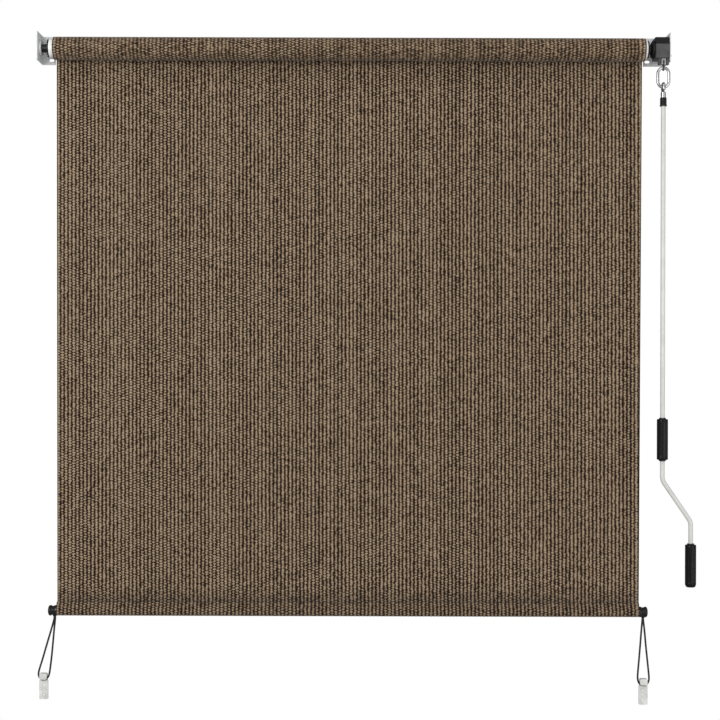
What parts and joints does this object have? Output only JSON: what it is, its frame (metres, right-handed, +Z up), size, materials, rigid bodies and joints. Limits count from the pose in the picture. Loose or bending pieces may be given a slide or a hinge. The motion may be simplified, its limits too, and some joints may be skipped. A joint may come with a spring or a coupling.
{
  "type": "outdoor roller shade",
  "caption": "Outdoor roller shade with wall brackets, ribbed cloth on a worm driven roller, hanging crank, bottom rail, bungee loops and clips",
  "frame": {"origin": "On the wall plane, at the centre of the four bracket slots", "axes": "+X along the roller towards the drive side, -Y out of the wall to the front, +Z up"},
  "size_m": [1.5658, 0.071, 1.5989],
  "materials": {
    "bracket_paint": "light grey powder coat",
    "boss_plastic": "grey moulded",
    "steel": "zinc plated",
    "black_plastic": "moulded black",
    "tube_paint": "white coat",
    "shade_cloth": "ribbed knit, brown and tan",
    "brass": "machined",
    "case_plastic": "moulded dark grey",
    "rod_paint": "off-white coat",
    "grip_plastic": "moulded black, fluted",
    "rail_aluminium": "mill finish",
    "bungee_cord": "braided black elastic cord",
    "clip_plastic": "pale translucent moulding"
  },
  "bodies": {
    "frame": {"bracket_left": "bracket_paint", "bracket_right": "bracket_paint", "idler_boss": "boss_plastic", "idler_pin": "steel", "worm_bush_top": "brass", "worm_bush_bottom": "brass", "shaft_bush_inner": "brass", "shaft_bush_outer": "brass", "gear_case": "case_plastic", "gear_cover": "case_plastic", "case_screws": "steel", "cloth_panel": "shade_cloth"},
    "roller": {"roller_tube": "tube_paint", "cloth_roll": "shade_cloth", "cloth_spline": "black_plastic", "idler_plug": "black_plastic", "drive_plug": "black_plastic", "drive_shaft": "steel", "worm_wheel": "brass", "shaft_clip": "steel"},
    "bottom_bar": {"bottom_rail": "rail_aluminium", "cloth_hem": "shade_cloth", "end_cap_left": "black_plastic", "end_cap_right": "black_plastic", "bungee_left": "bungee_cord", "bungee_right": "bungee_cord", "clip_left": "clip_plastic", "clip_right": "clip_plastic"},
    "worm": {"worm_shaft": "steel", "yoke_pin": "steel"},
    "eye": {"eye_link": "steel"},
    "link": {"chain_link": "steel"},
    "crank": {"crank_hook": "steel", "crank_ferrule": "black_plastic", "crank_rod": "rod_paint", "grip_stops": "black_plastic", "grip_end": "black_plastic"},
    "upper_handle": {"upper_grip": "grip_plastic"},
    "lower_handle": {"lower_grip": "grip_plastic"}
  },
  "joints": [
    {"name": "roller_turn", "type": "hinge", "parent": "frame", "child": "roller", "pos_m": [0, -0.042, -0.0025], "axis": [1, 0, 0], "range_deg": [0, 2314.29]},
    {"name": "bar_lift", "type": "slide", "parent": "frame", "child": "bottom_bar", "axis": [0, 0, 1], "range_m": [0, 1.286], "deforming": ["cloth_panel"]},
    {"name": "worm_turn", "type": "hinge", "parent": "frame", "child": "worm", "pos_m": [0.7429, -0.058, 0], "axis": [0, 0, 1], "range_deg": [0, 16200.1]},
    {"name": "eye_swing", "type": "hinge", "parent": "worm", "child": "eye", "pos_m": [0.7429, -0.058, -0.0372], "axis": [-1, 0, 0], "range_deg": [-2, 35]},
    {"name": "link_tilt", "type": "hinge", "parent": "eye", "child": "link", "pos_m": [0.7429, -0.058, -0.0484], "axis": [0, 1, 0], "range_deg": [-15, 15]},
    {"name": "hook_swing", "type": "hinge", "parent": "link", "child": "crank", "pos_m": [0.7429, -0.058, -0.09325], "axis": [-1, 0, 0], "range_deg": [-2, 40]},
    {"name": "upper_grip_turn", "type": "hinge", "parent": "crank", "child": "upper_handle", "pos_m": [0.7429, -0.058, -0.9264], "axis": [0, 0, 1], "continuous": true},
    {"name": "lower_grip_turn", "type": "hinge", "parent": "crank", "child": "lower_handle", "pos_m": [0.8103, -0.058, -1.2232], "axis": [0, 0, 1], "continuous": true}
  ],
  "couplings": [
    {"joint": "worm_turn", "follows": "roller_turn", "ratio": 7},
    {"joint": "bar_lift", "follows": "roller_turn", "m_per_rad": 0.03183}
  ]
}
